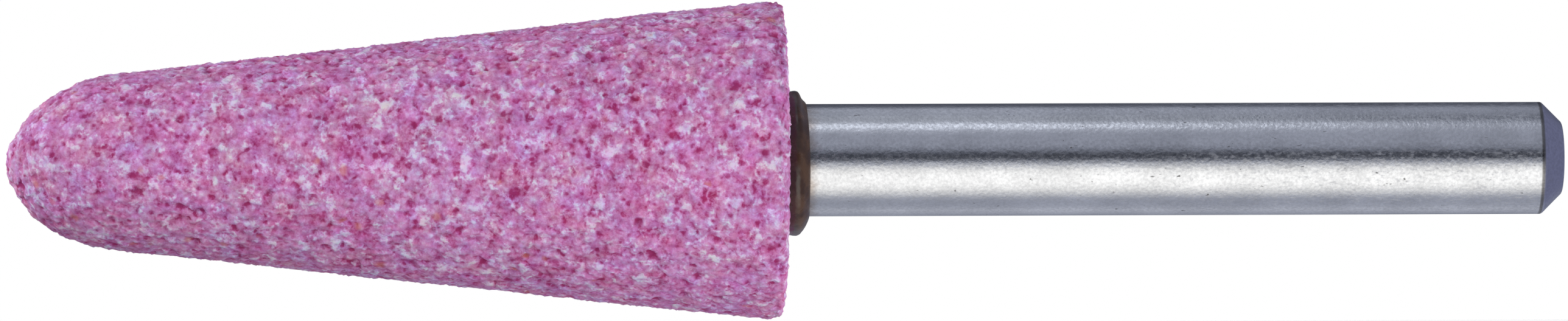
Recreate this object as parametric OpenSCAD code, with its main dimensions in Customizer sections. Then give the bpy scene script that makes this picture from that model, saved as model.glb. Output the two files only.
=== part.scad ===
// Mounted point: a tapered abrasive head with a rounded nose, cemented onto a round steel shank.
// The tool's axis is X. The origin is the centre of the shank's flat end, and the head points to -X.
// Every solid is drawn round Z, with Z measured from the shank's end, and then laid along X.

/* [Abrasive head] */
// Diameter of the head at its back face, where the flank would end if the rim were sharp
head_d = 17.2; // [12:0.1:25]
// Length of the head from its back face to the tip of its nose
head_length = 41.3; // [32:0.1:60]
// Angle between the straight flank and the axis, in degrees
flank_angle = 6.26; // [2:0.02:8]
// Half length, along the axis, of the ellipse that rounds the nose
nose_length = 7; // [4:0.1:12]
// Radius of the worn rim round the back face
rim_r = 0.45; // [0.1:0.05:1.5]

/* [Shank] */
// Diameter of the free shank, which a collet grips
shank_d = 6; // [4.5:0.1:8]
// Free length of the shank, from the head's back face to the shank's end
shank_length = 41.7; // [20:0.1:80]
// Width of the 45 degree chamfer round the shank's end
end_chamfer = 1.1; // [0.2:0.05:1.8]
// Radius that breaks both edges of the end chamfer
edge_r = 0.25; // [0.05:0.05:0.4]

/* [Cemented seat] */
// Depth to which the shank's seat goes into the head
seat_depth = 20; // [12:0.5:26]
// Amount by which the seat's radius is turned down below the free shank's
seat_relief = 0.2; // [0.1:0.05:0.4]
// Width of the chamfer round the seat's inner end
seat_chamfer = 0.5; // [0.1:0.1:1]
// Number of ring grooves that key the seat into the cement
groove_count = 4; // [1:1:6]
// Width of each ring groove at its mouth
groove_w = 1.4; // [0.8:0.1:1.6]
// Depth of each ring groove
groove_depth = 0.35; // [0.1:0.05:0.4]

/* [Cement] */
// Gap between the free shank's radius and the wall of the bore, which the cement fills
cement_gap = 0.25; // [0.2:0.05:0.6]
// Thickness of the cement under the seat's inner end
cement_bed = 0.6; // [0.2:0.1:2]
// Mean distance that the squeezed-out bead spreads over the back face, past the bore's edge
bead_spread = 0.7; // [0.3:0.05:1.5]
// How much further the bead spreads below the shank, where it sagged before it set
bead_sag = 0.17; // [0:0.01:0.25]
// Mean reach of the bead along the shank, from the back face
bead_reach = 1.34; // [0.8:0.02:2.4]
// How much further than that the bead reaches on its long side
bead_run = 0.08; // [0:0.01:0.2]
// Direction of the long side, in degrees from straight down; positive is towards +Y
bead_run_angle = -55; // [-180:5:180]
// Fullness of the bead's section: 2 is a quarter ellipse, and more is squarer
bead_fullness = 2.3; // [1.8:0.1:3]
// How far the bead still covers the seat's shoulder where the bead is shortest
shoulder_cover = 0.03; // [0.02:0.01:0.1]

/* [Hidden] */
$fn = 96;

shank_r = shank_d / 2;
seat_r = shank_r - seat_relief;
bore_r = shank_r + cement_gap;
bore_depth = seat_depth + cement_bed;

// Stations along the axis
back_z = -shank_length;
tip_z = back_z - head_length;
seat_end_z = back_z - seat_depth;
shoulder_z = back_z + bead_reach - bead_run - shoulder_cover;

// Steps of the round stretches
nose_steps = 28;
rim_steps = 8;
edge_steps = 5;
bead_turns = 64;
bead_steps = 9;

// Radius of the straight flank at a station, also where the nose or the rim replaces it
function flank_r(z) = head_d / 2 + (z - back_z) * tan(flank_angle);

// The nose is the ellipse that starts at the tip and meets the flank tangentially.
// A line of this slope touches it where the centre's flank height h gives h^2 = b^2 + (slope * a)^2.
nose_centre_z = tip_z + nose_length;
nose_flank_r = flank_r(nose_centre_z);
nose_slope_rise = nose_length * tan(flank_angle);
nose_r = sqrt(pow(nose_flank_r, 2) - pow(nose_slope_rise, 2));
nose_sweep = acos(nose_slope_rise / nose_flank_r);

function nose_point(t) = [nose_r * sin(t), nose_centre_z - nose_length * cos(t)];

// Points on an arc round a centre, from one angle to another
function arc(centre, r, from, to, steps) =
    [for (i = [0:steps]) let (t = from + (to - from) * i / steps) centre + r * [cos(t), sin(t)]];

rim_centre = [
    head_d / 2 - rim_r * (1 + sin(flank_angle)) / cos(flank_angle),
    back_z - rim_r
];

head_profile = concat(
    [for (i = [0:nose_steps]) nose_point(nose_sweep * i / nose_steps)],
    arc(rim_centre, rim_r, -flank_angle, 90, rim_steps),
    [[0, back_z]]
);

// The end chamfer, with both of its 135 degree edges broken by a small radius
edge_run = edge_r * tan(22.5);
chamfer_profile = concat(
    arc([shank_r - edge_r, -end_chamfer - edge_run], edge_r, 0, 45, edge_steps),
    arc([shank_r - end_chamfer - edge_run, -edge_r], edge_r, 45, 90, edge_steps)
);

// One ring groove with sloping sides, round a station of the seat
function groove_profile(z) = [
    [seat_r, z - groove_w / 2],
    [seat_r - groove_depth, z - groove_w / 2 + groove_depth / 2],
    [seat_r - groove_depth, z + groove_w / 2 - groove_depth / 2],
    [seat_r, z + groove_w / 2]
];

groove_pitch = seat_depth / (groove_count + 1);

shank_profile = concat(
    [[0, seat_end_z], [seat_r - seat_chamfer, seat_end_z], [seat_r, seat_end_z + seat_chamfer]],
    [for (i = [1:groove_count]) each groove_profile(seat_end_z + i * groove_pitch)],
    [[seat_r, shoulder_z], [shank_r, shoulder_z]],
    chamfer_profile,
    [[0, 0]]
);

// The bead's spread and reach vary slowly round the shank; the angle is counted from straight down
function bead_height(turn) = cement_gap + bead_spread + bead_sag * cos(turn);
function bead_length(turn) = bead_reach + bead_run * cos(turn - bead_run_angle);

// The section is a superellipse quarter that starts on the back face and ends inside the shank
bead_root_r = seat_r + seat_relief / 2;
bead_core_r = seat_r / 2;
bead_overlap = bead_reach / 3;

function bead_section(turn) = concat(
    [[bead_core_r, 0]],
    [for (i = [0:bead_steps])
        let (t = 90 * i / bead_steps, power = 2 / bead_fullness)
        [
            bead_root_r + (shank_r - bead_root_r + bead_height(turn)) * pow(cos(t), power),
            bead_length(turn) * pow(sin(t), power)
        ]],
    [[bead_core_r, bead_length(turn)]]
);

bead_points = [
    for (i = [0:bead_turns - 1])
        let (turn = 360 * i / bead_turns)
        for (p = bead_section(turn)) [p[0] * cos(turn), p[0] * sin(turn), back_z + p[1]]
];
bead_ring = bead_steps + 3;

// Two triangles for each patch between one section of the bead and the next
function bead_patch(i, k) =
    let (
        here = i * bead_ring,
        next = ((i + 1) % bead_turns) * bead_ring,
        above = (k + 1) % bead_ring
    )
    [[here + k, here + above, next + above], [here + k, next + above, next + k]];

bead_faces = [
    for (i = [0:bead_turns - 1]) for (k = [0:bead_ring - 1]) each bead_patch(i, k)
];

// Lays a solid that was drawn round Z along X; its +X side then faces down
module along_x() {
    rotate([0, 90, 0]) children();
}

module shank_solid() {
    rotate_extrude() polygon(shank_profile);
}

// Vitrified abrasive, pressed and fired in one piece round a blind bore
module abrasive_head() {
    color([0.73, 0.49, 0.68]) along_x() difference() {
        rotate_extrude() polygon(head_profile);
        translate([0, 0, back_z - bore_depth]) cylinder(r = bore_r, h = bore_depth + rim_r);
    }
}

// Turned steel shank with a relieved, grooved seat that the cement hides
module shank() {
    color([0.70, 0.71, 0.73]) along_x() shank_solid();
}

// Resin that fills the bore round the seat and stands out of it as a bead
module cement() {
    color([0.29, 0.23, 0.20]) along_x() difference() {
        union() {
            translate([0, 0, back_z - bore_depth]) cylinder(r = bore_r, h = bore_depth + bead_overlap);
            polyhedron(bead_points, bead_faces);
        }
        shank_solid();
    }
}

abrasive_head();
shank();
cement();
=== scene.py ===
# %% [markdown]
# # Dressing a mounted point
# A mounted point is a small grinding stone on a steel shank, spun in a collet at many thousands of turns
# a minute. Three pieces make it: a fired abrasive head, a turned steel shank, and the resin cement that
# joins them. The solids are already built and placed, so this lesson only gives them their surfaces: the
# grain and pores of the stone, the soft uneven bead of resin, and the bright bar steel with its flecks and
# turning marks. We load the solids first and keep the box that they fill, because the finished pieces may
# not outgrow it.

# %% Load the solids
import math

import bpy
from mathutils import Matrix, Vector


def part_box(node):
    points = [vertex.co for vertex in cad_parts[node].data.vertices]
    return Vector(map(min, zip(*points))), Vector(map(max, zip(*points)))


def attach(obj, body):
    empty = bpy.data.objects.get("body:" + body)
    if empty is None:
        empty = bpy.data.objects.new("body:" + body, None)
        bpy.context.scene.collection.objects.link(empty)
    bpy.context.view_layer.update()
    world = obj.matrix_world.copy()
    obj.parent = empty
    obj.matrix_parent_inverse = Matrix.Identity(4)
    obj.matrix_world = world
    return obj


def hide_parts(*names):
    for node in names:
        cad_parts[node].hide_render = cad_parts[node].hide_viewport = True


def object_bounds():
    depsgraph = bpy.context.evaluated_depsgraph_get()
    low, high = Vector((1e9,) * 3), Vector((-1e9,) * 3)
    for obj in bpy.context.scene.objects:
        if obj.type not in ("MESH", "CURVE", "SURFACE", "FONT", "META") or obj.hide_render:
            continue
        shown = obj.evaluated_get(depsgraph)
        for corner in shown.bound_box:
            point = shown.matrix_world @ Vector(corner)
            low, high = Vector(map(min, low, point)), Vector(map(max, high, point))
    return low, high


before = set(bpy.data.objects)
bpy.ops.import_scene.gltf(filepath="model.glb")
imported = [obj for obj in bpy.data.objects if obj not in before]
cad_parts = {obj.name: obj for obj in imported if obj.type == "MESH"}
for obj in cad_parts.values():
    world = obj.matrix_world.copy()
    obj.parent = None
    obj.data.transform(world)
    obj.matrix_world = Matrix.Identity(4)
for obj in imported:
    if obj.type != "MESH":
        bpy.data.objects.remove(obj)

cad_low, cad_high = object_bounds()
print("solids:", sorted(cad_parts), "from", list(cad_low), "to", list(cad_high))

# %% [markdown]
# ## Where things are
# Blender counts in metres here, but a stone like this is easier to think of in millimetres, so one constant
# turns one into the other. The stations along the axis come from the boxes of the solids. Nothing is
# measured twice: if the solids are rebuilt at another size, the surfaces below follow them.

# %% Stations along the axis
MM = 0.001

head_low, head_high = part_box("abrasive_head")
shank_low, shank_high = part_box("shank")
cement_low, cement_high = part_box("cement")

nose_mm = head_low.x / MM
back_mm = head_high.x / MM
rim_mm = head_high.z / MM
shank_mm = shank_high.z / MM
seat_end_mm = shank_low.x / MM
bead_end_mm = cement_high.x / MM
print("head", round(back_mm - nose_mm, 2), "mm long, free shank", round(-back_mm, 2), "mm")
print("rim radius", round(rim_mm, 2), "mm")
print("cement from", round(cement_low.x / MM, 2), "to", round(bead_end_mm, 2), "mm")

# %% [markdown]
# ## The camera
# The tool is seen from the side with a long lens, which keeps the taper of the stone true. The camera
# stands a little towards the nose, so the shank's end is turned away by a few degrees and its far edge shows
# as a narrow ellipse. A lens that long could also be copied by an orthographic camera, but then the ends of
# the rings would all look alike, and in the picture they open up towards the right.

# %% Camera
VIEW_DISTANCE = 670 * MM
VIEW_YAW = math.radians(2.8)
VIEW_ROLL = math.radians(0.18)
FRAME_WIDTH = 83.55 * MM
SENSOR_WIDTH = 36.0
AIM_PAST_BACK = 0.13 * MM
AIM_BELOW_AXIS = 0.015 * MM

camera_data = bpy.data.cameras.new("side_camera")
camera_data.sensor_width = SENSOR_WIDTH
camera_data.lens = SENSOR_WIDTH * VIEW_DISTANCE / FRAME_WIDTH
camera = bpy.data.objects.new("side_camera", camera_data)
bpy.context.scene.collection.objects.link(camera)

aim = Vector((head_high.x + AIM_PAST_BACK, 0, -AIM_BELOW_AXIS))
towards_camera = Vector((-math.sin(VIEW_YAW), -math.cos(VIEW_YAW), 0))
camera.location = aim + towards_camera * VIEW_DISTANCE
looking = (-towards_camera).to_track_quat("-Z", "Y").to_matrix()
camera.rotation_euler = (looking @ Matrix.Rotation(-VIEW_ROLL, 3, "Z")).to_euler()
bpy.context.scene.camera = camera
bpy.context.scene.view_settings.view_transform = "Standard"
print("lens", round(camera_data.lens, 1), "mm")

# %% [markdown]
# ## Building node trees in code
# Materials, the sky and the stone's relief are all node trees, and writing them socket by socket soon hides
# what they mean. One small helper adds a node, sets its options and fills its inputs with values or with
# other nodes' outputs. The others do sums, soft steps and running totals. They work in shader trees and in
# geometry trees alike, because both use the same texture and arithmetic nodes.

# %% Node helpers
NOISE_MIDDLE = 0.5


def add_node(tree, kind, inputs=None, **options):
    """Adds a node; inputs maps a socket's name or number to a value or to another node's output."""
    made = tree.nodes.new(kind)
    for name, value in options.items():
        setattr(made, name, value)
    for key, value in (inputs or {}).items():
        if isinstance(value, bpy.types.NodeSocket):
            tree.links.new(value, made.inputs[key])
        else:
            made.inputs[key].default_value = value
    return made


def sums(tree, operation, first, second=0.0, third=0.0):
    """The result of one arithmetic node."""
    inputs = {0: first, 1: second, 2: third}
    return add_node(tree, "ShaderNodeMath", inputs, operation=operation).outputs[0]


def times(tree, first, second):
    """The product of two values."""
    return sums(tree, "MULTIPLY", first, second)


def plus(tree, total, value, weight):
    """A running total with a weighted value added."""
    return sums(tree, "MULTIPLY_ADD", value, weight, total)


def plus_centred(tree, total, value, weight):
    """A running total with a weighted noise added, where the noise swings round its middle."""
    return plus(tree, total, sums(tree, "SUBTRACT", value, NOISE_MIDDLE), weight)


def ramp_between(tree, value, low, high, from_out=0.0, to_out=1.0):
    """A soft step: from_out below low, to_out above high, and a smooth curve between them."""
    inputs = {0: value, 1: low, 2: high, 3: from_out, 4: to_out}
    return add_node(tree, "ShaderNodeMapRange", inputs, interpolation_type="SMOOTHSTEP").outputs[0]


def vectors(tree, operation, first, second):
    """The result of one vector node with two vectors."""
    return add_node(tree, "ShaderNodeVectorMath", {0: first, 1: second}, operation=operation).outputs[0]


def scaled(tree, vector, factor):
    """A vector made longer or shorter."""
    inputs = {0: vector, "Scale": factor}
    return add_node(tree, "ShaderNodeVectorMath", inputs, operation="SCALE").outputs[0]


print("node helpers ready")

# %% [markdown]
# ## Colours
# A colour that was picked on a screen is not the number that a shader wants: screens store a curve, shaders
# count light. So one helper undoes the curve. Another blends two colours, which is how dirt, bond and stains
# get on a surface, and a third lays a list of stops on a colour ramp. Blender's own colour picker does the
# first silently, but code has to say it.

# %% Colour helpers
MIX_SHARE, MIX_FIRST, MIX_SECOND, MIX_RESULT = 0, 6, 7, 2
SCREEN_FULL = 255
CURVE_KNEE, CURVE_SLOPE, CURVE_LIFT, CURVE_POWER = 0.04045, 12.92, 0.055, 2.4


def blend_colours(tree, share, first, second, how="MIX"):
    """Two colours in one, by a share from 0 to 1."""
    inputs = {MIX_SHARE: share, MIX_FIRST: first, MIX_SECOND: second}
    mixed = add_node(tree, "ShaderNodeMix", inputs, data_type="RGBA", blend_type=how)
    return mixed.outputs[MIX_RESULT]


def linear_light(part):
    """One channel of a screen colour, from 0 to 255, as linear light."""
    share = part / SCREEN_FULL
    if share <= CURVE_KNEE:
        return share / CURVE_SLOPE
    return ((share + CURVE_LIFT) / (1 + CURVE_LIFT)) ** CURVE_POWER


def colour(red, green, blue):
    """A colour picked on screen as the linear colour that shaders count in."""
    return (linear_light(red), linear_light(green), linear_light(blue), 1.0)


def grey(level):
    """A neutral linear colour."""
    return (level, level, level, 1.0)


def fill_ramp(ramp, stops):
    """Gives a new colour ramp its stops, as pairs of position and colour."""
    for position, _ in stops[1:-1]:
        ramp.elements.new(position)
    for element, (position, paint) in zip(ramp.elements, stops):
        element.position = position
        element.color = paint


print("half grey on screen is", round(colour(128, 128, 128)[0], 3), "in linear light")

# %% [markdown]
# ## The studio
# Bright steel has no look of its own: it shows the room. The picture tells what the room was. The lower half
# of the shank is white, so a white table lay in front; a dark line runs along the middle, where the unlit
# side with the camera was; above it is a grey wall with a darker strip. We write that room down as bands of
# light round the tool's axis, since the bar mirrors exactly those. Cards and boxes would do it as well, but
# they would stand in the way of other views. Each band is an angle, counted up from the camera's side.

# %% Bands of the room
STUDIO_BANDS = [
    (-180, 0.16),
    (-150, 0.38),
    (-128, 0.52),
    (-112, 0.40),
    (-96, 0.37),
    (-86, 0.41),
    (-66, 0.98),
    (-54, 1.32),
    (-32, 1.35),
    (-20, 1.06),
    (-9, 0.55),
    (-3, 0.20),
    (2, 0.04),
    (12, 0.04),
    (20, 0.25),
    (28, 0.34),
    (60, 0.34),
    (78, 0.29),
    (88, 0.13),
    (98, 0.13),
    (108, 0.27),
    (126, 0.31),
    (140, 0.12),
    (152, 0.08),
    (180, 0.16),
]
COOL_RED, COOL_BLUE = -0.10, 0.36
FULL_TURN = 360
HALF_WAY = 0.5


def wall_grey(level):
    """A grey that turns bluish as it gets darker, like the unlit walls of a room with cool lamps."""
    shade = max(0.0, 1.0 - level)
    return (level * (1 + COOL_RED * shade), level, level * (1 + COOL_BLUE * shade), 1.0)


band_stops = [(angle / FULL_TURN + HALF_WAY, wall_grey(level)) for angle, level in STUDIO_BANDS]
print("bands of the room:", len(band_stops))

# %% [markdown]
# ## The sky
# The sky node turns each direction into its angle round the axis and looks the band up. Far to the left and
# right there are plain walls: the bluish one on the right is what the end chamfer shows. Steel sees the whole
# room, but the matte stone gets only a share of it, because its light comes from lamps that can be set one
# by one. The camera, and anything seen through glass, gets plain white.

# %% Sky
LEFT_WALL = (0.46, 0.47, 0.50, 1.0)
RIGHT_WALL = (0.20, 0.21, 0.31, 1.0)
WALL_START, WALL_FULL = 0.32, 0.68
MATTE_SHARE = 0.22

sky = bpy.data.worlds.new("studio")
bpy.context.scene.world = sky
sky.use_nodes = True
room = sky.node_tree
room.nodes.clear()

direction = add_node(room, "ShaderNodeTexCoord").outputs["Generated"]
heading = add_node(room, "ShaderNodeSeparateXYZ", {0: direction}).outputs
turn = sums(room, "ARCTAN2", heading["Z"], times(room, heading["Y"], -1))
band = plus(room, HALF_WAY, turn, HALF_WAY / math.pi)
bands = add_node(room, "ShaderNodeValToRGB", {0: band})
fill_ramp(bands.color_ramp, band_stops)
to_left = ramp_between(room, heading["X"], -WALL_START, -WALL_FULL)
to_right = ramp_between(room, heading["X"], WALL_START, WALL_FULL)
with_left = blend_colours(room, to_left, bands.outputs[0], LEFT_WALL)
with_right = blend_colours(room, to_right, with_left, RIGHT_WALL)

ray = add_node(room, "ShaderNodeLightPath").outputs
dimmed = blend_colours(room, 1.0, with_right, grey(MATTE_SHARE), how="MULTIPLY")
lighting = blend_colours(room, ray["Is Glossy Ray"], dimmed, with_right)
seen = sums(room, "MAXIMUM", ray["Is Camera Ray"], ray["Is Transmission Ray"])
shown = blend_colours(room, seen, lighting, grey(1.0))
backdrop = add_node(room, "ShaderNodeBackground", {"Color": shown, "Strength": 1.0})
add_node(room, "ShaderNodeOutputWorld", {"Surface": backdrop.outputs[0]})
print("sky:", len(room.nodes), "nodes")

# %% [markdown]
# ## Lamps
# Four large soft boxes stand round the tool and light the stone from every side, so it has no hard shadow.
# Two small boxes close to it shape the light: one above the nose, and one below the back end, where the
# picture is brightest. A strip, a panel and a line hang over the left part of the shank, and only those show
# in the steel. An area lamp's power depends on its size, so the helper takes the brightness that the lamp's
# face should have, which is also what a mirror would show, and works the power out.

# %% Lamps
COOL_WHITE = (0.92, 0.98, 1.10)
tool_centre = (cad_low + cad_high) / 2
axis_at_nose = Vector((-0.075, 0, 0))
axis_at_back = Vector((-0.05, 0, 0))


def soft_box(name, place, aim_at, width, height, brightness, mirrored=False):
    """An area lamp whose face has the given brightness, where 1 is white; steel mirrors it or not."""
    lamp = bpy.data.lights.new(name, "AREA")
    lamp.shape = "RECTANGLE"
    lamp.size = width
    lamp.size_y = height
    lamp.energy = brightness * math.pi * width * height
    box = bpy.data.objects.new(name, lamp)
    bpy.context.scene.collection.objects.link(box)
    box.location = place
    box.rotation_euler = (aim_at - place).to_track_quat("-Z", "Y").to_euler()
    box.visible_camera = False
    box.visible_glossy = mirrored
    if mirrored:
        lamp.color = COOL_WHITE
    print(name, round(lamp.energy, 3), "W")


def large_box(name, offset, brightness):
    """A large soft box, placed from the middle of the tool and turned to it."""
    soft_box(name, tool_centre + Vector(offset), tool_centre, width=0.9, height=0.9, brightness=brightness)


def small_box(name, place, aim_at, brightness):
    """A small box close to the stone."""
    soft_box(name, Vector(place), aim_at, width=0.06, height=0.06, brightness=brightness)


def overhead(name, place, width, height, brightness):
    """A lamp over the shank that the steel mirrors."""
    below = Vector((place[0], 0, 0))
    soft_box(name, Vector(place), below, width, height, brightness, mirrored=True)


large_box("left_box", (-0.85, -0.62, 0.24), brightness=3.0)
large_box("right_box", (0.85, -0.62, 0.30), brightness=2.0)
large_box("back_left_box", (-0.85, 0.62, 0.18), brightness=2.6)
large_box("back_right_box", (0.85, 0.62, 0.18), brightness=2.6)
small_box("nose_box", (-0.13, -0.10, 0.085), axis_at_nose, brightness=3.8)
small_box("back_end_box", (0.015, -0.05, -0.075), axis_at_back, brightness=6.2)
overhead("shank_strip", (-0.16, -0.12, 0.40), width=0.36, height=0.10, brightness=0.62)
overhead("shank_panel", (-0.30, 0.05, 0.50), width=0.66, height=0.80, brightness=0.13)
overhead("shank_line", (-0.30, 0.03, 0.48), width=0.66, height=0.16, brightness=0.18)

# %% [markdown]
# ## The floor
# A pale floor lies below the tool and catches its shadow in the views from above. It is seen by the camera
# alone: the light that comes up from below and the white that the steel mirrors are already in the sky, and
# a second white table would double them. A little glow lifts it to white where nothing shades it.

# %% Floor
FLOOR_BELOW_AXIS = 12 * MM
FLOOR_HALF = 0.26
FLOOR_GLOW = 0.5
FLOOR_GREY = 0.8


def new_material(name):
    """A material with an empty node tree."""
    made = bpy.data.materials.new(name)
    made.use_nodes = True
    made.node_tree.nodes.clear()
    return made


floor_mesh = bpy.data.meshes.new("floor")
turns = [(-1, -1), (1, -1), (1, 1), (-1, 1)]
corners = [(x * FLOOR_HALF + tool_centre.x, y * FLOOR_HALF, -FLOOR_BELOW_AXIS) for x, y in turns]
floor_mesh.from_pydata(corners, [], [(0, 1, 2, 3)])
floor = bpy.data.objects.new("floor", floor_mesh)
bpy.context.scene.collection.objects.link(floor)
floor.visible_diffuse = False
floor.visible_glossy = False
floor.visible_transmission = False
floor.visible_shadow = False

floor_white = new_material("floor_white")
coat = floor_white.node_tree
matte = add_node(coat, "ShaderNodeBsdfDiffuse", {"Color": grey(FLOOR_GREY)})
glow = add_node(coat, "ShaderNodeEmission", {"Color": grey(1.0), "Strength": FLOOR_GLOW})
both = add_node(coat, "ShaderNodeAddShader", {0: matte.outputs[0], 1: glow.outputs[0]})
add_node(coat, "ShaderNodeOutputMaterial", {"Surface": both.outputs[0]})
floor_mesh.materials.append(floor_white)
print("floor", FLOOR_BELOW_AXIS / MM, "mm below the axis")

# %% [markdown]
# ## Patterns
# Stone, resin and steel are all described by a few kinds of pattern: cloudy noise, scattered cells, and round
# spots made from those cells. Places that are pushed about by noise first give cells without straight
# borders, which is what broken grains look like. Image textures could do this too, but they have a fixed
# sharpness and need unwrapping, and these patterns fill space, so they also reach into the pores.

# %% Pattern helpers
SPOT_SPREAD, SPOT_LEAST = 0.7, 0.5
FAR_OUTSIDE = 1.0
PATTERN_STEPS = {
    "large_pores": (31.0, 17.0, 5.0),
    "grains": (7.0, 43.0, 11.0),
    "granules": (23.0, 2.0, 37.0),
    "pits": (3.0, 8.0, 19.0),
    "rim_bites": (3.0, 9.0, 27.0),
    "bond": (13.0, 3.0, 29.0),
    "rust": (5.0, 61.0, 2.0),
    "frost": (4.0, 9.0, 6.0),
}


def noise(tree, place, per_mm, detail=2.0, roughness=0.5):
    """Cloudy noise with so many lumps a millimetre, from about 0.25 to 0.75."""
    inputs = {"Vector": place, "Scale": per_mm, "Detail": detail, "Roughness": roughness}
    return add_node(tree, "ShaderNodeTexNoise", inputs, noise_dimensions="3D").outputs


def cells(tree, place, per_mm):
    """Scattered cells, so many a millimetre, each with a random colour of its own."""
    inputs = {"Vector": place, "Scale": per_mm}
    return add_node(tree, "ShaderNodeTexVoronoi", inputs, feature="F1").outputs


def elsewhere(tree, place, pattern):
    """The same place read elsewhere, so that two patterns don't share their cells."""
    return vectors(tree, "ADD", place, PATTERN_STEPS[pattern])


def parts_of(tree, vector):
    """The three numbers of a vector or a colour, under X, Y and Z."""
    return add_node(tree, "ShaderNodeSeparateXYZ", {0: vector}).outputs


def spot_depth(tree, place, per_mm, radius, share):
    """How deep a place lies inside a spot, in mm; a share of the cells has a spot of about this radius."""
    found = cells(tree, place, per_mm)
    draw = parts_of(tree, found["Color"])
    reach = plus(tree, SPOT_LEAST * radius, draw["X"], SPOT_SPREAD * radius)
    chosen = sums(tree, "LESS_THAN", draw["Y"], share)
    edge = plus(tree, -FAR_OUTSIDE, chosen, sums(tree, "ADD", reach, FAR_OUTSIDE))
    return plus(tree, edge, found["Distance"], -1 / per_mm)


def round_spots(tree, place, per_mm, radius, share, softness):
    """1 inside such spots and 0 outside, with an edge as soft as a share of the radius."""
    depth = spot_depth(tree, place, per_mm, radius, share)
    return ramp_between(tree, depth, -softness * radius / 2, softness * radius / 2)


def wobbled(tree, place, per_mm, reach):
    """Places pushed about by noise, so that cells lose their straight borders."""
    push = vectors(tree, "SUBTRACT", noise(tree, place, per_mm)["Color"], [NOISE_MIDDLE] * 3)
    return vectors(tree, "ADD", place, scaled(tree, push, reach))


def length_of(tree, vector):
    """The length of a vector."""
    return add_node(tree, "ShaderNodeVectorMath", {0: vector}, operation="LENGTH").outputs["Value"]


def round_axis(tree, place):
    """The three coordinates of a place, and its distance from the tool's axis."""
    axes = parts_of(tree, place)
    across = add_node(tree, "ShaderNodeCombineXYZ", {1: axes["Y"], 2: axes["Z"]}).outputs[0]
    return axes, length_of(tree, across)


print("patterns that are read elsewhere:", ", ".join(PATTERN_STEPS))

# %% [markdown]
# ## What the stone is made of
# Under a lens the head is a crowd of pink fused-alumina grains, held by a white glassy bond, with open pores
# between them that look deep magenta because light is trapped there. We describe all of that once, as
# fields in millimetres: grains, smaller granules, lumps, pits and pores. The relief and the colour both read
# the same fields, so a pore is dark exactly where the surface dips. Painting and denting by separate noise
# would never line up.

# %% Fields of the stone
BEND = {"per_mm": 1.2, "reach": 0.45}
ROUGHEN = {"per_mm": 3.5, "reach": 0.13}
SMALL_PORE = {"per_mm": 2.4, "radius": 0.15, "share": 0.40}
LARGE_PORE = {"per_mm": 1.2, "radius": 0.27, "share": 0.20}
PORE_EDGE = 0.07
LARGE_PORE_EDGE = 1.5 * PORE_EDGE
HALO_WIDTH = 0.20
GRAINS_PER_MM = 1.5
GRANULES_PER_MM = 2.4
LUMPS = {"per_mm": 1.8, "roughness": 0.62}
PITS = {"per_mm": 1.9, "detail": 1.0}
PIT_EDGE = (0.37, 0.28)


def stone_fields(tree, place):
    """The fields that relief and colour share, at a place in millimetres."""
    bent = wobbled(tree, place, **BEND)
    rough = wobbled(tree, bent, **ROUGHEN)
    small = spot_depth(tree, rough, **SMALL_PORE)
    large = spot_depth(tree, elsewhere(tree, rough, "large_pores"), **LARGE_PORE)
    nearest = sums(tree, "MAXIMUM", small, large)
    pits = noise(tree, elsewhere(tree, rough, "pits"), **PITS)[0]
    return {
        "rough": rough,
        "small_pores": ramp_between(tree, small, -PORE_EDGE, PORE_EDGE),
        "large_pores": ramp_between(tree, large, -LARGE_PORE_EDGE, LARGE_PORE_EDGE),
        "halo": ramp_between(tree, nearest, -HALO_WIDTH, -PORE_EDGE),
        "grains": cells(tree, elsewhere(tree, rough, "grains"), GRAINS_PER_MM),
        "granules": cells(tree, elsewhere(tree, rough, "granules"), GRANULES_PER_MM)["Distance"],
        "lumps": noise(tree, bent, **LUMPS)[0],
        "pits": ramp_between(tree, pits, *PIT_EDGE),
    }


print("about", GRAINS_PER_MM, "grains and", GRANULES_PER_MM, "granules a millimetre")

# %% [markdown]
# ## The head's mesh
# The solid is a clean body of revolution with long thin faces, which can't carry relief. A voxel remesh of a
# copy gives small even faces everywhere, also round the nose, where a lathe mesh would pinch. The wall of
# the bore is glued up and never seen, so most of its faces are collapsed again, and the skin can be finer
# for it. The copy is worked in millimetres and made small again at the end, so sizes read as they are.

# %% Remesh the head
HEAD_VOXEL = 0.163
COLLAPSED = 0.9
BORE_MARGIN = 0.3
SEAT_MARGIN = 1


def finished_mesh(piece):
    """The mesh of an object with its modifiers applied."""
    evaluated = piece.evaluated_get(bpy.context.evaluated_depsgraph_get())
    made = bpy.data.meshes.new_from_object(evaluated)
    made.name = piece.name
    return made


def even_copy(solid, name, voxel):
    """A copy of a solid in millimetres, as a new object with small even faces."""
    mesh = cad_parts[solid].data.copy()
    mesh.materials.clear()
    mesh.transform(Matrix.Scale(1 / MM, 4))
    piece = bpy.data.objects.new(name, mesh)
    bpy.context.scene.collection.objects.link(piece)
    remesh = piece.modifiers.new("even_faces", "REMESH")
    remesh.mode = "VOXEL"
    remesh.voxel_size = voxel
    remesh.use_smooth_shade = True
    piece.data = finished_mesh(piece)
    piece.modifiers.clear()
    return piece


def thin_out(piece, hidden):
    """Collapses most of the faces at points that can't be seen, so that the rest may stay fine."""
    unseen = [v.index for v in piece.data.vertices if hidden(v.co)]
    piece.vertex_groups.new(name="unseen").add(unseen, 1.0, "REPLACE")
    fewer = piece.modifiers.new("fewer_faces", "DECIMATE")
    fewer.vertex_group = "unseen"
    fewer.ratio = 1 - COLLAPSED * len(unseen) / len(piece.data.vertices)
    made = finished_mesh(piece)
    piece.modifiers.clear()
    piece.vertex_groups.clear()
    piece.data = made


def in_bore(point):
    """Whether a point lies on the wall or the bottom of the bore."""
    return math.hypot(point.y, point.z) < shank_mm + BORE_MARGIN and point.x > seat_end_mm - SEAT_MARGIN


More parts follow.
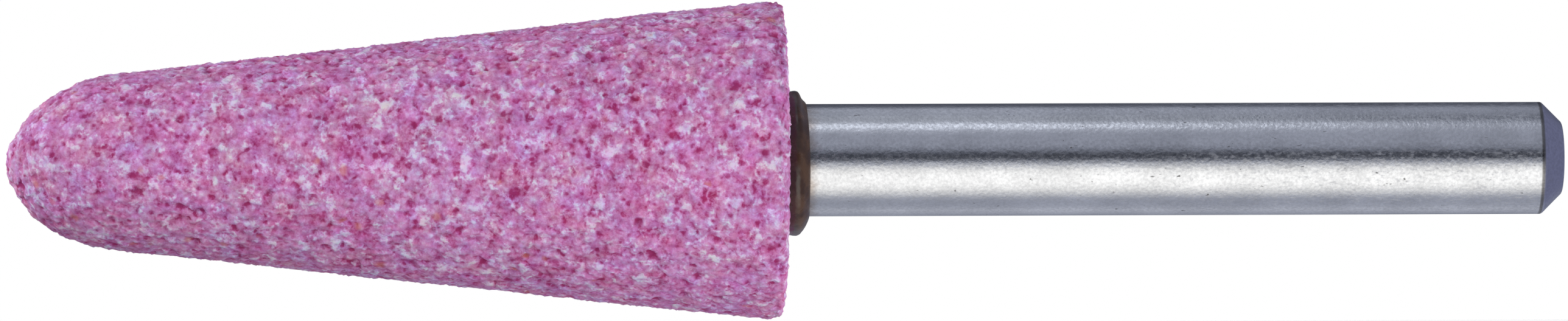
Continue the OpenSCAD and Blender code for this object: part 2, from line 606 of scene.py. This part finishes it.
head = even_copy("abrasive_head", "stone_head", HEAD_VOXEL)
thin_out(head, in_bore)
print("head faces:", len(head.data.polygons))

# %% [markdown]
# ## Relief of the grain
# A geometry node tree will move each point along its normal by a height, which is a sum of fields. The first
# part of that sum is the stone itself: slow waves from pressing and dressing, fine grit, domed granules and
# grains that stand proud, and pores that go in. The heights are hundredths of a millimetre, but light from
# the side makes them count. A bump map alone would leave the outline smooth.

# %% Height of the grain
SINK = 0.04
WAVES = {"per_mm": 0.15}
WAVE_RISE = 0.16
GRIT = {"per_mm": 3.0}
GRIT_RISE = 0.26
GRANULE_RISE = 0.15
DOME_TOP = 0.25
GRAIN_RISE = 0.04
GRAIN_TOP = 0.5
PORE_DEPTH = {"small_pores": 0.06, "large_pores": 0.12, "pits": 0.04}


def grain_height(tree, place):
    """The height that waves, grit, granules, grains and pores give a place, in mm."""
    fields = stone_fields(tree, place)
    height = plus_centred(tree, -SINK, noise(tree, place, **WAVES)[0], WAVE_RISE)
    height = plus_centred(tree, height, noise(tree, place, **GRIT)[0], GRIT_RISE)
    dome = plus(tree, DOME_TOP, fields["granules"], times(tree, fields["granules"], -1))
    height = plus(tree, height, dome, GRANULE_RISE)
    grain_top = sums(tree, "SUBTRACT", GRAIN_TOP, fields["grains"]["Distance"])
    height = plus(tree, height, grain_top, GRAIN_RISE)
    for pore, depth in PORE_DEPTH.items():
        height = plus(tree, height, fields[pore], -depth)
    return height


print("pores go in by", max(PORE_DEPTH.values()), "mm at most")

# %% [markdown]
# ## Relief of the wear
# A fired stone chips where it is touched. A few flat patches are worn off the nose, each a ball whose edge is
# made ragged by noise. Round the back, the sharp corner is worn down and bitten, and the back face swells a
# little between rim and cement, as pressed pieces do when they come out of the mould.

# %% Height of the wear
WORN_PATCHES = [
    {"centre": (-81.6, 0.0, 3.4), "reach": 2.7, "depth": 0.11},
    {"centre": (-82.6, 0.0, 2.0), "reach": 1.3, "depth": 0.07},
    {"centre": (-82.5, -0.4, -2.1), "reach": 1.3, "depth": 0.10},
    {"centre": (-80.2, -5.2, 1.0), "reach": 1.5, "depth": 0.12},
]
WORN_EDGE = 0.35
RAGGED = {"per_mm": 1.1, "reach": 1.2}
RIM_BITES = {"per_mm": 1.9}
RIM_BITE = 0.8
RIM_REACH = 1.2
CORNER_WEAR = 0.18
CORNER_REACH = 1.0
RIM_FULL = 0.1
BACK_SWELL = 0.12
BACK_START, BACK_FULL = -0.5, 0.0
SWELL_START, SWELL_FULL = 1.5, 3.5


def with_patches(tree, place, height):
    """The height less the patches that are worn off the nose."""
    ragged = wobbled(tree, place, **RAGGED)
    for patch in WORN_PATCHES:
        ends = {0: ragged, 1: patch["centre"]}
        away = add_node(tree, "ShaderNodeVectorMath", ends, operation="DISTANCE").outputs["Value"]
        worn = ramp_between(tree, away, patch["reach"], patch["reach"] - WORN_EDGE)
        height = plus(tree, height, worn, -patch["depth"])
    return height


def with_back(tree, place, height):
    """The height with the bitten, worn rim and the swollen back face."""
    axes, radius = round_axis(tree, place)
    from_back = sums(tree, "SUBTRACT", axes["X"], back_mm)
    from_rim = sums(tree, "SUBTRACT", radius, rim_mm)
    gap = add_node(tree, "ShaderNodeCombineXYZ", {0: from_back, 1: from_rim}).outputs[0]
    rim_distance = length_of(tree, gap)
    bites = noise(tree, elsewhere(tree, place, "rim_bites"), **RIM_BITES)[0]
    bite = times(tree, sums(tree, "SUBTRACT", bites, NOISE_MIDDLE), RIM_BITE)
    height = plus(tree, height, bite, ramp_between(tree, rim_distance, RIM_REACH, RIM_FULL))
    at_corner = ramp_between(tree, rim_distance, CORNER_REACH, RIM_FULL)
    height = plus(tree, height, at_corner, -CORNER_WEAR)
    on_back = ramp_between(tree, from_back, BACK_START, BACK_FULL)
    past_cement = ramp_between(tree, radius, shank_mm + SWELL_START, shank_mm + SWELL_FULL)
    return plus(tree, height, times(tree, on_back, past_cement), BACK_SWELL)


print("worn patches on the nose:", len(WORN_PATCHES))

# %% [markdown]
# ## Moving the points
# Now the parts come together in one geometry node tree. It first stores where each point was, in
# millimetres, so that the shader can ask the very same fields later. The wall of the bore stays smooth, since
# the cement fills it. Applying the modifier at once, and not at render time, keeps the piece a plain mesh
# that any program can read.

# %% Relief of the head
SKIN_START, SKIN_FULL = 0.4, 0.9
NOSE_SIDE = 2


def modifier_tree(name):
    """An empty geometry node tree, with its input and the position of each point."""
    tree = bpy.data.node_groups.new(name, "GeometryNodeTree")
    for side in ("INPUT", "OUTPUT"):
        tree.interface.new_socket("Geometry", in_out=side, socket_type="NodeSocketGeometry")
    start = add_node(tree, "NodeGroupInput").outputs[0]
    return tree, start, add_node(tree, "GeometryNodeInputPosition").outputs[0]


def push_out(tree, geometry, height):
    """Ends a tree by moving its points along their normals."""
    normal = add_node(tree, "GeometryNodeInputNormal").outputs[0]
    offset = scaled(tree, normal, height)
    moved = add_node(tree, "GeometryNodeSetPosition", {"Geometry": geometry, "Offset": offset})
    add_node(tree, "NodeGroupOutput", {0: moved.outputs[0]})


def relief_tree():
    """The geometry nodes that turn the smooth head into stone."""
    tree, start, place = modifier_tree("stone_relief")
    keep = {"Geometry": start, "Name": "stone_place", "Value": place}
    kind = {"data_type": "FLOAT_VECTOR", "domain": "POINT"}
    stored = add_node(tree, "GeometryNodeStoreNamedAttribute", keep, **kind).outputs[0]
    height = with_back(tree, place, with_patches(tree, place, grain_height(tree, place)))
    axes, radius = round_axis(tree, place)
    outside = ramp_between(tree, radius, shank_mm + SKIN_START, shank_mm + SKIN_FULL)
    nose_side = sums(tree, "LESS_THAN", axes["X"], seat_end_mm - NOSE_SIDE)
    on_skin = sums(tree, "MAXIMUM", outside, nose_side)
    push_out(tree, stored, times(tree, height, on_skin))
    return tree


def shape(piece, tree):
    """Runs a geometry node tree on a piece, for good, and brings the piece back to metres."""
    piece.modifiers.new("shape", "NODES").node_group = tree
    piece.data = finished_mesh(piece)
    piece.modifiers.clear()
    piece.data.transform(Matrix.Scale(MM, 4))


shape(head, relief_tree())
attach(head, "root")
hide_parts("abrasive_head")
radii = [math.hypot(v.co.y, v.co.z) / MM for v in head.data.vertices]
print("relief done: largest radius", round(max(radii), 3), "mm")

# %% [markdown]
# ## Light and dark in the stone
# Before it has a colour, the stone has a tone from 0 to 1. Every grain takes its own tone from its random
# number, and lumps and granules add theirs. The white bond lifts it in crisp blots that hang together like a
# net, the thin pale edge round a pore lifts it a little, and the pores drop it. Crumbs, splinters and dust
# break it up to the smallest size that the eye can find. One tone for all of it keeps the colours related.

# %% Tone of the stone
ZONES = {"per_mm": 0.75, "detail": 1.0}
CRUMBS = {"per_mm": 5.0, "roughness": 0.6}
DUST = {"per_mm": 14.0, "detail": 1.0}
SPLINTER_WOBBLE = {"per_mm": 6.0, "reach": 0.12}
SPLINTERS_PER_MM = 4.2
BLOTS = {"per_mm": 1.3}
BOND_EDGE = (0.53, 0.65)
BOND_CRUMBS = 0.30
BOND_LIFT = 0.30
PALE_ZONES = (0.4, 0.6)
HALO_LIFT = 0.12
PORE_DROP = {"small_pores": 0.34, "large_pores": 0.36, "pits": 0.22}
MIDDLE_TONE = 0.475
TINT_SWING, ZONE_SWING, LUMP_SWING, GRANULE_SWING = 0.15, 0.32, 0.75, -0.42
CRUMB_SWING, SPLINTER_SWING, DUST_SWING = 0.7, 0.16, 0.2


def stone_tone(tree, fields, skin_place, crumbs):
    """The tone of the stone, from dark pores at 0 to white bond at 1."""
    tint = parts_of(tree, fields["grains"]["Color"])["Z"]
    zones = noise(tree, skin_place, **ZONES)[0]
    tone = plus_centred(tree, MIDDLE_TONE, tint, TINT_SWING)
    tone = plus_centred(tree, tone, zones, ZONE_SWING)
    tone = plus_centred(tree, tone, fields["lumps"], LUMP_SWING)
    tone = plus_centred(tree, tone, fields["granules"], GRANULE_SWING)
    blots = noise(tree, elsewhere(tree, fields["rough"], "bond"), **BLOTS)[0]
    bond = ramp_between(tree, plus_centred(tree, blots, crumbs, BOND_CRUMBS), *BOND_EDGE)
    tone = plus(tree, tone, bond, BOND_LIFT)
    pale_edge = times(tree, fields["halo"], ramp_between(tree, zones, *PALE_ZONES))
    tone = plus(tree, tone, pale_edge, HALO_LIFT)
    for pore, drop in PORE_DROP.items():
        tone = plus(tree, tone, fields[pore], -drop)
    splinters = cells(tree, wobbled(tree, skin_place, **SPLINTER_WOBBLE), SPLINTERS_PER_MM)
    tone = plus_centred(tree, tone, crumbs, CRUMB_SWING)
    tone = plus_centred(tree, tone, parts_of(tree, splinters["Color"])["X"], SPLINTER_SWING)
    return plus_centred(tree, tone, noise(tree, skin_place, **DUST)[0], DUST_SWING)


print("bond lifts the tone by", BOND_LIFT, "and pores drop it by up to", max(PORE_DROP.values()))

# %% [markdown]
# ## The stone's colour
# A colour ramp turns the tone into colour, from magenta in the pores to the pale lilac of the bond. Slow
# noise in all three channels lets the hue drift a little, since no batch of grain is one pink, and a few
# rusty specks of stray mineral are set in. The light of the picture is already in the lamps, so the
# colours here are those of the dry stone. The same tone drives a fine bump for what is smaller than the
# mesh.

# %% Stone material
STONE_TONES = [
    (0.02, colour(156, 48, 104)),
    (0.20, colour(173, 80, 137)),
    (0.34, colour(187, 109, 163)),
    (0.50, colour(197, 131, 183)),
    (0.66, colour(206, 153, 202)),
    (0.82, colour(212, 179, 218)),
    (0.95, colour(219, 203, 230)),
]
HUE_DRIFT = {"per_mm": 0.7, "detail": 5.0, "roughness": 0.75}
HUE_REACH = 0.8
RUST = colour(204, 122, 98)
RUST_SPOTS = {"per_mm": 1.0, "radius": 0.22, "share": 0.14, "softness": 1.2}
RUST_SHARE = 0.5
STONE_BUMP, STONE_BUMP_DEPTH = 0.5, 0.10 * MM
STONE_SHINE = {"low": 0.3, "high": 0.7, "from_out": 0.55, "to_out": 0.9}
STONE_SPECULAR = 0.3


def in_millimetres(tree):
    """The row's own coordinates in millimetres, for patterns on solids that sit at the origin."""
    return scaled(tree, add_node(tree, "ShaderNodeTexCoord").outputs["Object"], 1 / MM)


def finish_skin(tree, inputs, height, strength, depth):
    """Ends a material with a bump and the Principled shader."""
    bump = add_node(tree, "ShaderNodeBump", {"Strength": strength, "Distance": depth, "Height": height})
    skin = add_node(tree, "ShaderNodeBsdfPrincipled", {**inputs, "Normal": bump.outputs[0]})
    add_node(tree, "ShaderNodeOutputMaterial", {"Surface": skin.outputs[0]})


def stone_material():
    """Pink alumina grains, white bond, magenta pores and rusty specks."""
    made = new_material("pink_abrasive")
    tree = made.node_tree
    place = add_node(tree, "ShaderNodeAttribute", attribute_name="stone_place").outputs["Vector"]
    fields = stone_fields(tree, place)
    skin_place = in_millimetres(tree)
    crumbs = noise(tree, skin_place, **CRUMBS)[0]
    tone = stone_tone(tree, fields, skin_place, crumbs)
    tones = add_node(tree, "ShaderNodeValToRGB", {0: tone})
    fill_ramp(tones.color_ramp, STONE_TONES)

    swing = vectors(tree, "SUBTRACT", noise(tree, skin_place, **HUE_DRIFT)["Color"], [NOISE_MIDDLE] * 3)
    hue = vectors(tree, "ADD", scaled(tree, swing, HUE_REACH), (1.0, 1.0, 1.0))
    drifted = blend_colours(tree, 1.0, tones.outputs[0], hue, how="MULTIPLY")
    rust = round_spots(tree, elsewhere(tree, fields["rough"], "rust"), **RUST_SPOTS)
    painted = blend_colours(tree, times(tree, rust, RUST_SHARE), drifted, RUST)

    shine = ramp_between(tree, crumbs, **STONE_SHINE)
    inputs = {"Base Color": painted, "Roughness": shine, "Specular IOR Level": STONE_SPECULAR}
    finish_skin(tree, inputs, tone, STONE_BUMP, STONE_BUMP_DEPTH)
    return made


def dress(mesh, material):
    """Gives a mesh one material."""
    mesh.materials.clear()
    mesh.materials.append(material)
    print(material.name, "has", len(material.node_tree.nodes), "nodes")


dress(head.data, stone_material())

# %% [markdown]
# ## The bead of cement
# When the shank is pushed into the glued bore, resin wells up round it and sets as a fat, slightly sagging
# ring. It is remeshed like the head, only finer, and thinned out inside the bore. Then it is wobbled
# gently: a wet bead has no sharp relief, just slow swells where it ran, a crease where it rolls in against
# the stone, a crest behind its lip, and a slumped shoulder on top. It stays put where it touches steel and
# stone.

# %% Bead mesh
BEAD_VOXEL = 0.09
BEAD_HIDDEN = 0.4
SWELL = {"per_mm": 0.45, "detail": 1.0}
SWELL_MIDDLE = 0.42
BEAD_SWELL = 0.16
RIPPLE = {"per_mm": 2.2}
BEAD_RIPPLE = 0.05
CREASE_DEPTH = 0.17
CREASE_WIDTH = 0.9
CREST_RISE = 0.06
CREST_START, CREST_FULL = 0.35, 0.8
LIP_START, LIP_FULL = 0.85, 1.2
SLUMP_DEPTH = 0.13
SLUMP_LOW, SLUMP_HIGH = 1.0, 3.4
SLUMP_START, SLUMP_FULL = 0.7, 1.15
STEEL_CLEAR = (0.02, 0.3)
STONE_CLEAR = (-0.12, -0.02)


def swell_tree():
    """The geometry nodes that make the bead's skin uneven."""
    tree, start, place = modifier_tree("bead_swell")
    axes, radius = round_axis(tree, place)
    past_stone = sums(tree, "SUBTRACT", axes["X"], back_mm)
    swell = sums(tree, "SUBTRACT", noise(tree, place, **SWELL)[0], SWELL_MIDDLE)
    height = times(tree, swell, BEAD_SWELL)
    height = plus_centred(tree, height, noise(tree, place, **RIPPLE)[0], BEAD_RIPPLE)
    height = plus(tree, height, ramp_between(tree, past_stone, CREASE_WIDTH, 0.0), -CREASE_DEPTH)
    before_lip = ramp_between(tree, past_stone, LIP_FULL, LIP_START)
    crest = times(tree, ramp_between(tree, past_stone, CREST_START, CREST_FULL), before_lip)
    height = plus(tree, height, crest, CREST_RISE)
    upper = ramp_between(tree, axes["Z"], SLUMP_LOW, SLUMP_HIGH)
    shoulder = ramp_between(tree, past_stone, SLUMP_START, SLUMP_FULL)
    height = plus(tree, height, times(tree, upper, shoulder), -SLUMP_DEPTH)
    from_steel = sums(tree, "SUBTRACT", radius, shank_mm)
    off_steel = ramp_between(tree, from_steel, *STEEL_CLEAR)
    off_stone = ramp_between(tree, past_stone, *STONE_CLEAR)
    push_out(tree, start, times(tree, height, times(tree, off_steel, off_stone)))
    return tree


bead = even_copy("cement", "cement_bead", BEAD_VOXEL)
thin_out(bead, lambda point: point.x < back_mm - BEAD_HIDDEN)
shape(bead, swell_tree())
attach(bead, "root")
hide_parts("cement")
print("bead faces:", len(bead.data.polygons))

# %% [markdown]
# ## Resin
# The cement is a brown filled resin with a wet shine. Towards the crease against the stone it is painted
# darker, as painted shade where the bead rolls in; it is mottled by its filler, and dusted with a few pink
# crumbs that fell on it before it set. Translucent resin would need scattering under the skin, but this one
# is filled and lets no light through.

# %% Resin material
RESIN = colour(80, 58, 40)
RESIN_DARK = colour(56, 38, 25)
# Painted shade: a near-black brown laid into the crease where the bead rolls in against the stone.
PAINTED_CREASE_SHADE = colour(34, 18, 10)
CRUMB = colour(170, 110, 145)
FILLER = {"per_mm": 1.1, "detail": 3.0}
FILLER_EDGE = (0.35, 0.65)
CREASE_SHADE_FAR, CREASE_SHADE_NEAR = 1.05, 0.05
CREASE_SHADE_SHARE = 0.85
CRUMB_WOBBLE = {"per_mm": 4.0, "reach": 0.15}
CRUMB_SPOTS = {"per_mm": 1.6, "radius": 0.10, "share": 0.10, "softness": 0.8}
CRUMB_SHARE = 0.7
RESIN_SKIN = {"per_mm": 5.0, "detail": 3.0}
RESIN_BUMP, RESIN_BUMP_DEPTH = 0.4, 0.03 * MM
RESIN_SHINE = {"low": 0.3, "high": 0.7, "from_out": 0.2, "to_out": 0.3}
RESIN_SPECULAR = 0.65


def resin_material():
    """Brown filled resin with a wet shine, darkened by painted shade in the crease against the stone."""
    made = new_material("brown_resin")
    tree = made.node_tree
    place = in_millimetres(tree)
    along = parts_of(tree, place)["X"]
    filler = noise(tree, place, **FILLER)[0]
    painted = blend_colours(tree, ramp_between(tree, filler, *FILLER_EDGE), RESIN_DARK, RESIN)
    # Painted shade, darkest against the stone and fading out about a millimetre along the bead.
    crease_shade = ramp_between(tree, along, back_mm + CREASE_SHADE_FAR, back_mm + CREASE_SHADE_NEAR)
    painted = blend_colours(tree, times(tree, crease_shade, CREASE_SHADE_SHARE), painted, PAINTED_CREASE_SHADE)
    crumbs = round_spots(tree, wobbled(tree, place, **CRUMB_WOBBLE), **CRUMB_SPOTS)
    painted = blend_colours(tree, times(tree, crumbs, CRUMB_SHARE), painted, CRUMB)
    shine = ramp_between(tree, filler, **RESIN_SHINE)
    inputs = {"Base Color": painted, "Roughness": shine, "Specular IOR Level": RESIN_SPECULAR}
    finish_skin(tree, inputs, noise(tree, place, **RESIN_SKIN)[0], RESIN_BUMP, RESIN_BUMP_DEPTH)
    return made


dress(bead.data, resin_material())

# %% [markdown]
# ## The colour of bar steel
# The shank is drawn bar, bright but not polished. It has duller and brighter patches, short dark flecks along
# the bar, where scale was drawn in, and a browner band close to the resin. The turned chamfer is grey steel
# with extra blue painted in for the bluish light that it mirrors, and a line of painted shade marks its edge,
# for the dark room that the rounded edge mirrors. The solid's own faces are kept, because a bar is already
# its final shape.

# %% Colour of the steel
BRIGHT = grey(0.80)
DULL = grey(0.70)
# The dark colour of the flecks, also used for the painted shade line at the chamfer's edge.
DARK_FLECK_AND_EDGE_SHADE = (0.16, 0.15, 0.14, 1.0)
# The brown that the steel is given close to the resin.
BROWN_BY_RESIN = (0.34, 0.24, 0.17, 1.0)
# Steel grey with extra blue painted in: a painted reflection of the bluish wall that the chamfer mirrors.
TURNED_PAINTED_BLUE = (0.60, 0.61, 0.70, 1.0)
PATCHES = {"per_mm": 0.35, "detail": 3.0}
PATCH_EDGE = (0.35, 0.65)
FLECK_SHARE = 0.8
BROWN_EDGE_NOISE = {"per_mm": 1.2}
BROWN_FADE = (0.1, -0.7)
BROWN_SHARE = 0.6
CHAMFER_START = -1.22
# The width of a dark line painted at the chamfer's edge: painted shade for the dark room that the rounded
# edge mirrors.
SHADE_LINE_WIDTH = 0.13
SHADE_LINE_SHARE = 0.85
MOTTLE_SHADE = {"low": 0.25, "high": 0.75, "from_out": 0.88, "to_out": 1.06}


def steel_colour(tree, place, along, fleck, turned, mottle):
    """Patches, flecks, a browner band at the resin, the turned end with painted blue, and a painted shade
    line at its edge.
    """
    patches = noise(tree, place, **PATCHES)[0]
    painted = blend_colours(tree, ramp_between(tree, patches, *PATCH_EDGE), DULL, BRIGHT)
    painted = blend_colours(tree, times(tree, fleck, FLECK_SHARE), painted, DARK_FLECK_AND_EDGE_SHADE)
    # The steel turns browner close to the resin and fades out just past the bead's lip.
    past_bead = sums(tree, "SUBTRACT", along, bead_end_mm)
    uneven = sums(tree, "SUBTRACT", past_bead, noise(tree, place, **BROWN_EDGE_NOISE)[0])
    near_bead = ramp_between(tree, uneven, *BROWN_FADE)
    painted = blend_colours(tree, times(tree, near_bead, BROWN_SHARE), painted, BROWN_BY_RESIN)
    # The turned end takes the bluer colour, partly steel and partly a painted reflection of the bluish wall.
    painted = blend_colours(tree, turned, painted, TURNED_PAINTED_BLUE)
    # A dark line is painted along the chamfer's edge, as painted shade for the dark room mirrored there.
    from_edge = sums(tree, "ABSOLUTE", sums(tree, "SUBTRACT", along, CHAMFER_START))
    painted_edge_shade = ramp_between(tree, from_edge, SHADE_LINE_WIDTH, SHADE_LINE_WIDTH / 3)
    painted = blend_colours(tree, times(tree, painted_edge_shade, SHADE_LINE_SHARE), painted, DARK_FLECK_AND_EDGE_SHADE)
    shade = ramp_between(tree, mottle, **MOTTLE_SHADE)
    return blend_colours(tree, 1.0, painted, shade, how="MULTIPLY")


print("the chamfer starts", -CHAMFER_START, "mm from the shank's end")

# %% [markdown]
# ## The skin of bar steel
# Drawing leaves the skin faintly pebbled, so the edge between the dark and the light band breaks up into
# specks, and use leaves frosted places, more of them towards the free end. Turning left fine rings on the
# chamfer, and those spread the bluish light from the right. All of it is roughness and a bump of a few
# thousandths of a millimetre, which is too little to be worth a finer mesh.

# %% Steel material
DRAWN_OUT = (0.45, 1.0, 1.0)
FLECKS = {"per_mm": 4.0, "detail": 3.0, "roughness": 0.6}
FLECK_EDGE = (0.69, 0.74)
FLECK_ROUGHER = 0.3
MOTTLE = {"per_mm": 6.5, "roughness": 0.6}
STEEL_SHINE = {"low": 0.3, "high": 0.7, "from_out": 0.26, "to_out": 0.16}
FROST = {"per_mm": 5.5, "detail": 3.0, "roughness": 0.6}
FROST_EDGE = (0.45, 0.72)
FROST_ALONG = {"low": -28, "high": -14, "from_out": 0.3, "to_out": 1.0}
FROST_ROUGHER = 0.22
PEBBLES = {"per_mm": 5.0}
TURNED_EDGE = 0.02
TURNED_ROUGHER = 0.12
RING_GAP = 0.055
RING_RISE = 0.12
STEEL_BUMP, STEEL_BUMP_DEPTH = 1.0, 0.009 * MM
FLOAT_FIRST, FLOAT_SECOND = 2, 3


def steel_material():
    """Bright drawn bar with pebbled skin, flecks, frost, a browner band at the resin and a turned end."""
    made = new_material("bar_steel")
    tree = made.node_tree
    place = in_millimetres(tree)
    axes, radius = round_axis(tree, place)
    drawn = vectors(tree, "MULTIPLY", place, DRAWN_OUT)
    fleck = ramp_between(tree, noise(tree, drawn, **FLECKS)[0], *FLECK_EDGE)
    turned = ramp_between(tree, axes["X"], CHAMFER_START - TURNED_EDGE, CHAMFER_START + TURNED_EDGE)
    mottle = noise(tree, place, **MOTTLE)[0]
    painted = steel_colour(tree, place, axes["X"], fleck, turned, mottle)

    pebbles = noise(tree, place, **PEBBLES)[0]
    rings = sums(tree, "SINE", times(tree, radius, 2 * math.pi / RING_GAP))
    heights = {0: turned, FLOAT_FIRST: pebbles, FLOAT_SECOND: times(tree, rings, RING_RISE)}
    relief = add_node(tree, "ShaderNodeMix", heights, data_type="FLOAT").outputs[0]

    frost = ramp_between(tree, noise(tree, elsewhere(tree, drawn, "frost"), **FROST)[0], *FROST_EDGE)
    frosted = times(tree, frost, ramp_between(tree, axes["X"], **FROST_ALONG))
    shine = ramp_between(tree, mottle, **STEEL_SHINE)
    shine = plus(tree, shine, frosted, FROST_ROUGHER)
    shine = plus(tree, shine, fleck, FLECK_ROUGHER)
    shine = plus(tree, shine, turned, TURNED_ROUGHER)
    inputs = {"Base Color": painted, "Metallic": 1.0, "Roughness": shine}
    finish_skin(tree, inputs, relief, STEEL_BUMP, STEEL_BUMP_DEPTH)
    return made


dress(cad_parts["shank"].data, steel_material())
